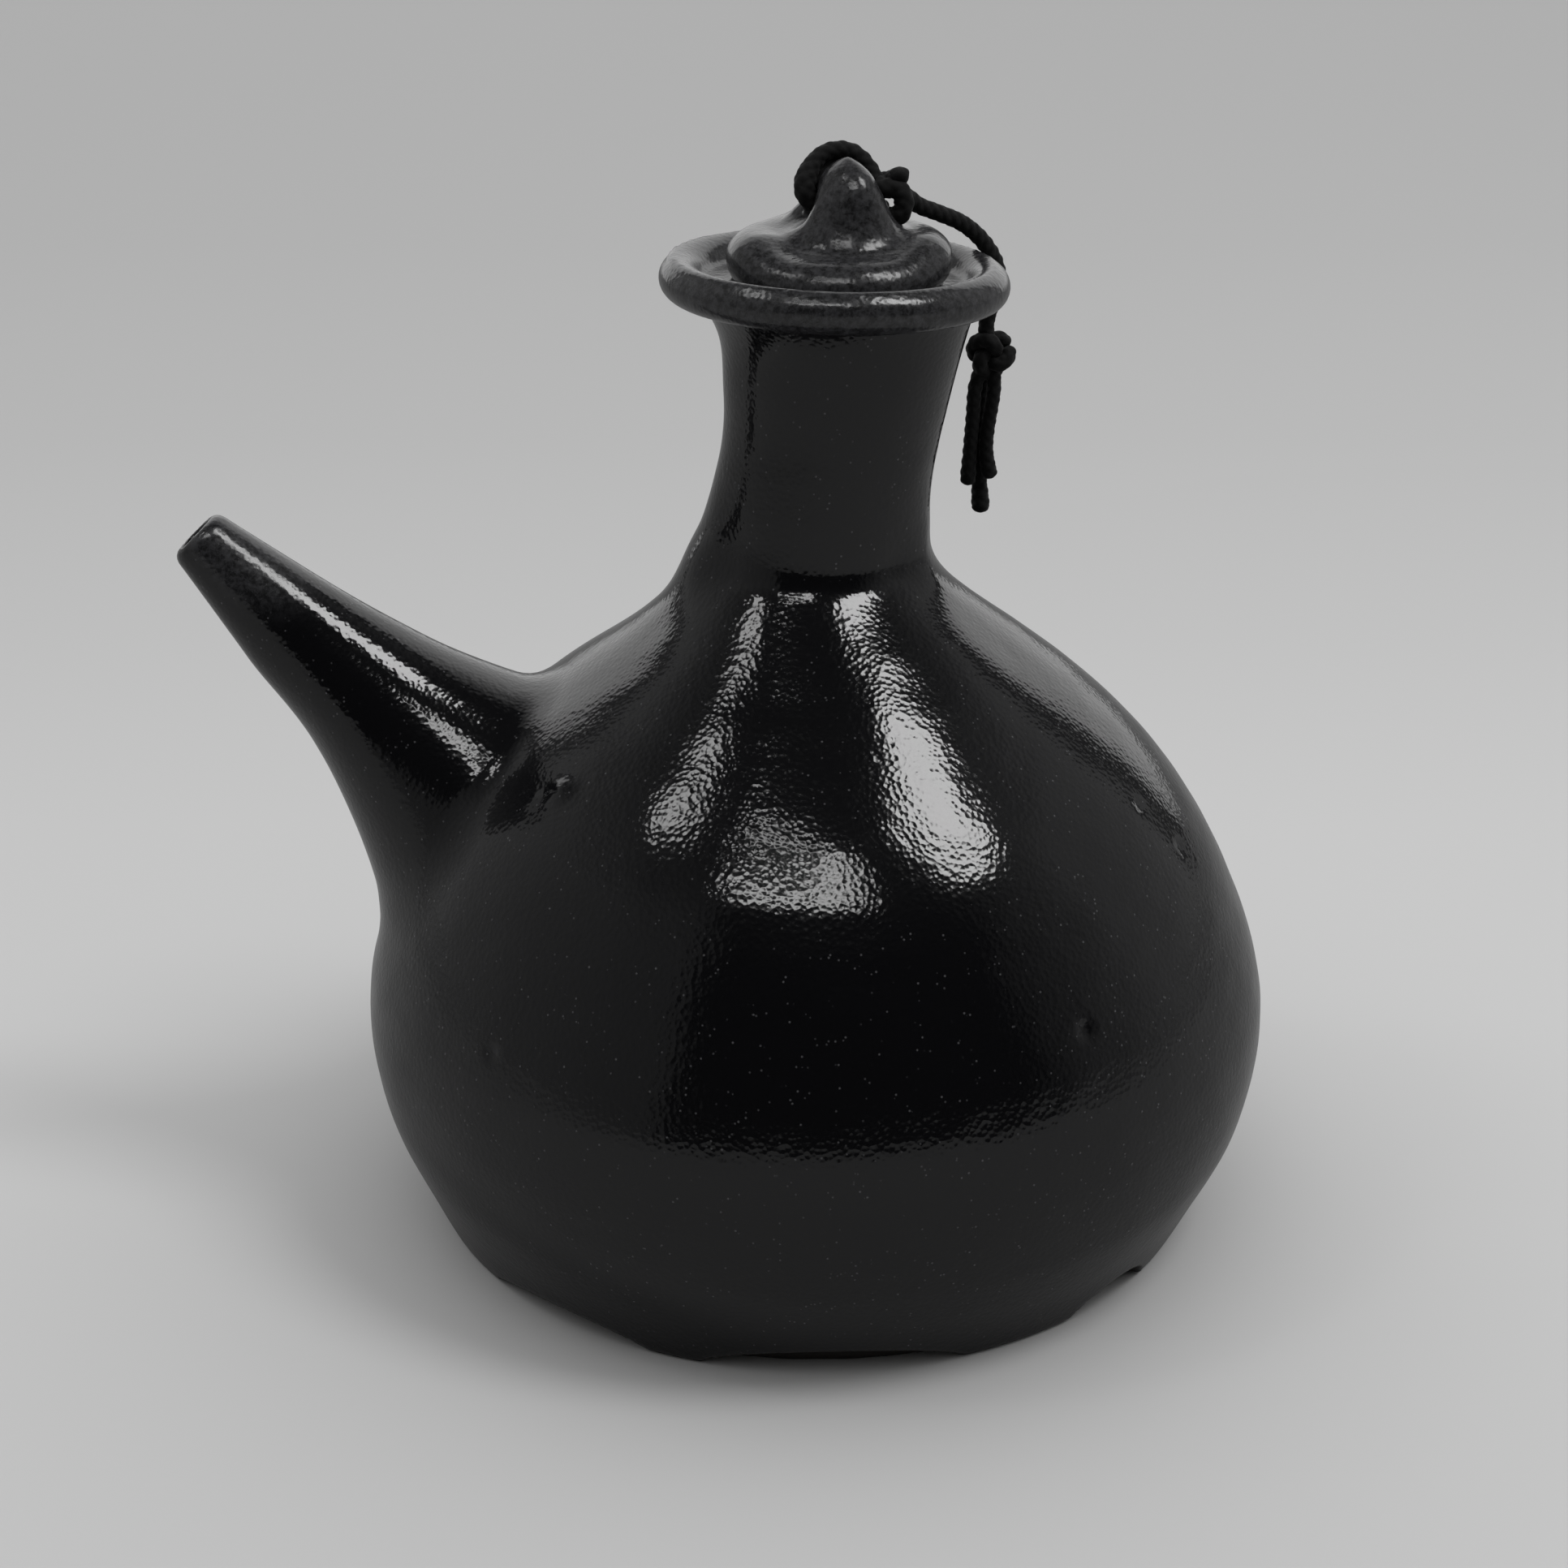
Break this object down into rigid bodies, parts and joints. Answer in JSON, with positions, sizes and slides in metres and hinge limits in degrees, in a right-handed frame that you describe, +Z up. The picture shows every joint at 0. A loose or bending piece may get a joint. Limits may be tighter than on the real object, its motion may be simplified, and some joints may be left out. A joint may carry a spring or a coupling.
{
  "type": "oil bottle",
  "caption": "Squat glazed stoneware oil bottle with a flared neck, a slanting spout and a lift-out stopper tied with a knotted cord.",
  "frame": {"origin": "middle of the flat underside, on the body's turning axis", "axes": "+Z up along the turning axis, -X towards the spout's tip, +X towards the hanging cord, -Y towards the viewer"},
  "size_m": [0.1651, 0.1394, 0.1626],
  "materials": {
    "dark_glaze": "near-black iron glaze, glossy, a little orange-peeled",
    "lip_glaze": "thinner grey satin glaze on the lip and stopper, finely mottled",
    "bare_clay": "unglazed dark stoneware, matt",
    "braided_cord": "black braided cotton cord, matt"
  },
  "bodies": {
    "bottle": {"bottle_base": "dark_glaze", "bottle_body": "dark_glaze", "bottle_neck": "lip_glaze", "pouring_spout": "dark_glaze", "spout_collar": "dark_glaze"},
    "stopper": {"stopper_cap": "lip_glaze", "stopper_plug": "bare_clay", "cord_loop": "braided_cord", "hitch_knot": "braided_cord", "cord_run": "braided_cord", "lower_knot": "braided_cord", "cord_tail_left": "braided_cord", "cord_tail_right": "braided_cord", "cord_tail_centre": "braided_cord"}
  },
  "joints": [
    {"name": "stopper_lift", "type": "slide", "parent": "bottle", "child": "stopper", "axis": [0, 0, 1], "range_m": [0, 0.05]}
  ]
}
